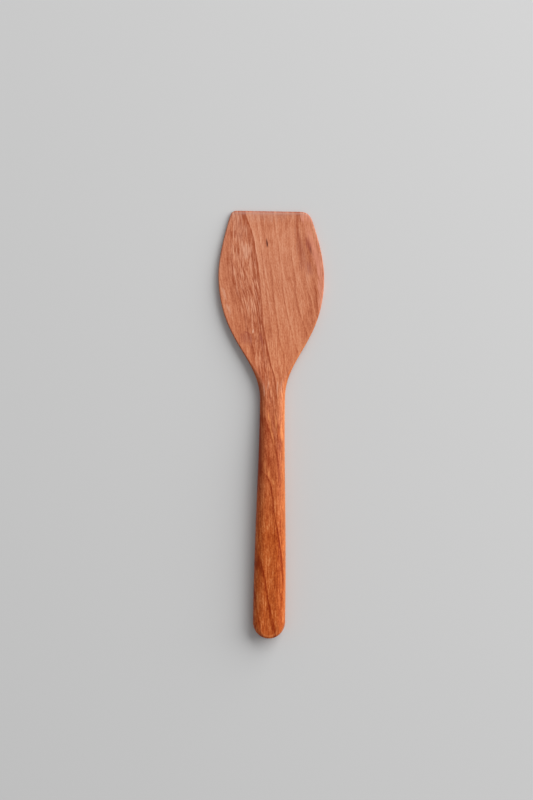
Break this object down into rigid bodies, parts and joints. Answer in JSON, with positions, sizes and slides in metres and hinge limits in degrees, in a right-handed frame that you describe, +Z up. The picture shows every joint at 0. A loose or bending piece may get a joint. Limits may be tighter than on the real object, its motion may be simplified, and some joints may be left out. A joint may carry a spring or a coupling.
{
  "type": "wooden spatula",
  "caption": "Flat carved wooden spatula for stirring, turning and scraping food: a broad thin blade with curved sides and a straight front edge, drawn into a slim rounded handle.",
  "frame": {"origin": "middle of the outline's box, on the flat underside", "axes": "+Y along the length from the handle's round end to the front edge, +X to the right across the blade seen from above, +Z up from the underside"},
  "size_m": [0.0754, 0.305, 0.0125],
  "materials": {
    "oiled_wood": "oiled satin, drier and paler on the blade"
  },
  "bodies": {
    "root": {"spatula": "oiled_wood"}
  },
  "joints": []
}
